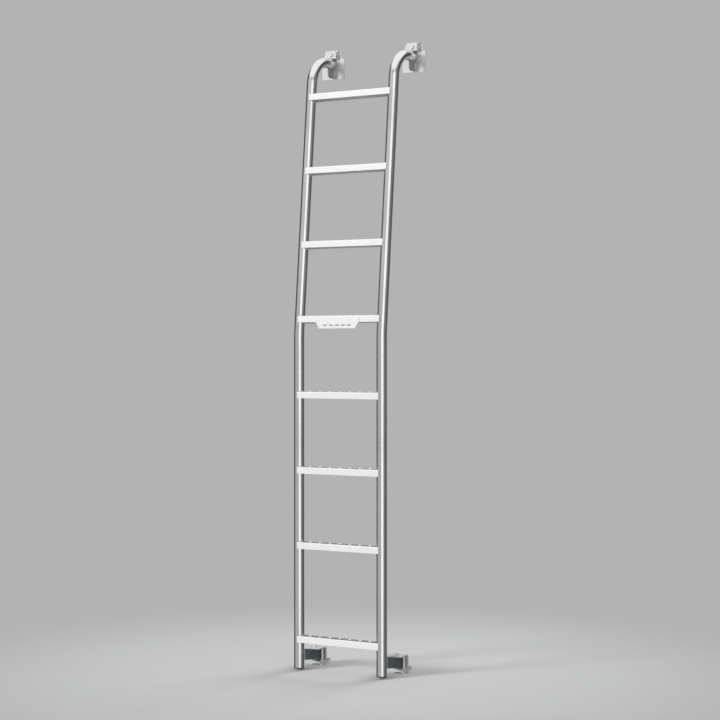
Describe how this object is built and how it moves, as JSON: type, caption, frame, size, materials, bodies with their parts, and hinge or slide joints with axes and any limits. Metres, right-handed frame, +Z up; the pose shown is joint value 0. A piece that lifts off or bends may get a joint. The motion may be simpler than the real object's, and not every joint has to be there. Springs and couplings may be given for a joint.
{
  "type": "van rear door ladder",
  "caption": "Fixed ladder for a van's rear door: bent polished tube stiles, folded treads with raised grip nubs, and hooked door brackets at top and bottom.",
  "frame": {"origin": "on the door side of the left top pad, on the axis of the left stile's top run", "axes": "+X to the right seen from behind the van, +Y from the ladder towards the door, +Z up"},
  "size_m": [0.37, 0.2488, 1.927],
  "materials": {
    "polished_tube": "polished stainless",
    "polished_tread": "bright rolled stainless sheet",
    "polished_sheet": "satin stainless sheet",
    "bolt_steel": "bright zinc",
    "dark_steel": "dark grey satin coat",
    "pad_rubber": "black rubber",
    "cap_plastic": "black moulded"
  },
  "bodies": {
    "root": {"badge_plate": "polished_sheet", "tread_1": "polished_tread", "tread_2": "polished_tread", "tread_3": "polished_tread", "tread_4": "polished_tread", "tread_5": "polished_tread", "tread_6": "polished_tread", "tread_7": "polished_tread", "tread_8": "polished_tread", "left_stile": "polished_tube", "left_end_cap": "cap_plastic", "left_top_plate": "polished_sheet", "left_top_pad": "pad_rubber", "left_gusset": "polished_sheet", "left_hook_cradle": "polished_sheet", "left_door_hook": "polished_sheet", "left_hook_bolt": "bolt_steel", "left_foot_arm": "dark_steel", "left_foot_bracket": "polished_sheet", "left_foot_jaw": "polished_sheet", "left_foot_pad": "pad_rubber", "left_foot_bolts": "bolt_steel", "right_stile": "polished_tube", "right_end_cap": "cap_plastic", "right_top_plate": "polished_sheet", "right_top_pad": "pad_rubber", "right_gusset": "polished_sheet", "right_hook_cradle": "polished_sheet", "right_door_hook": "polished_sheet", "right_hook_bolt": "bolt_steel", "right_foot_arm": "dark_steel", "right_foot_bracket": "polished_sheet", "right_foot_jaw": "polished_sheet", "right_foot_pad": "pad_rubber", "right_foot_bolts": "bolt_steel"}
  },
  "joints": []
}
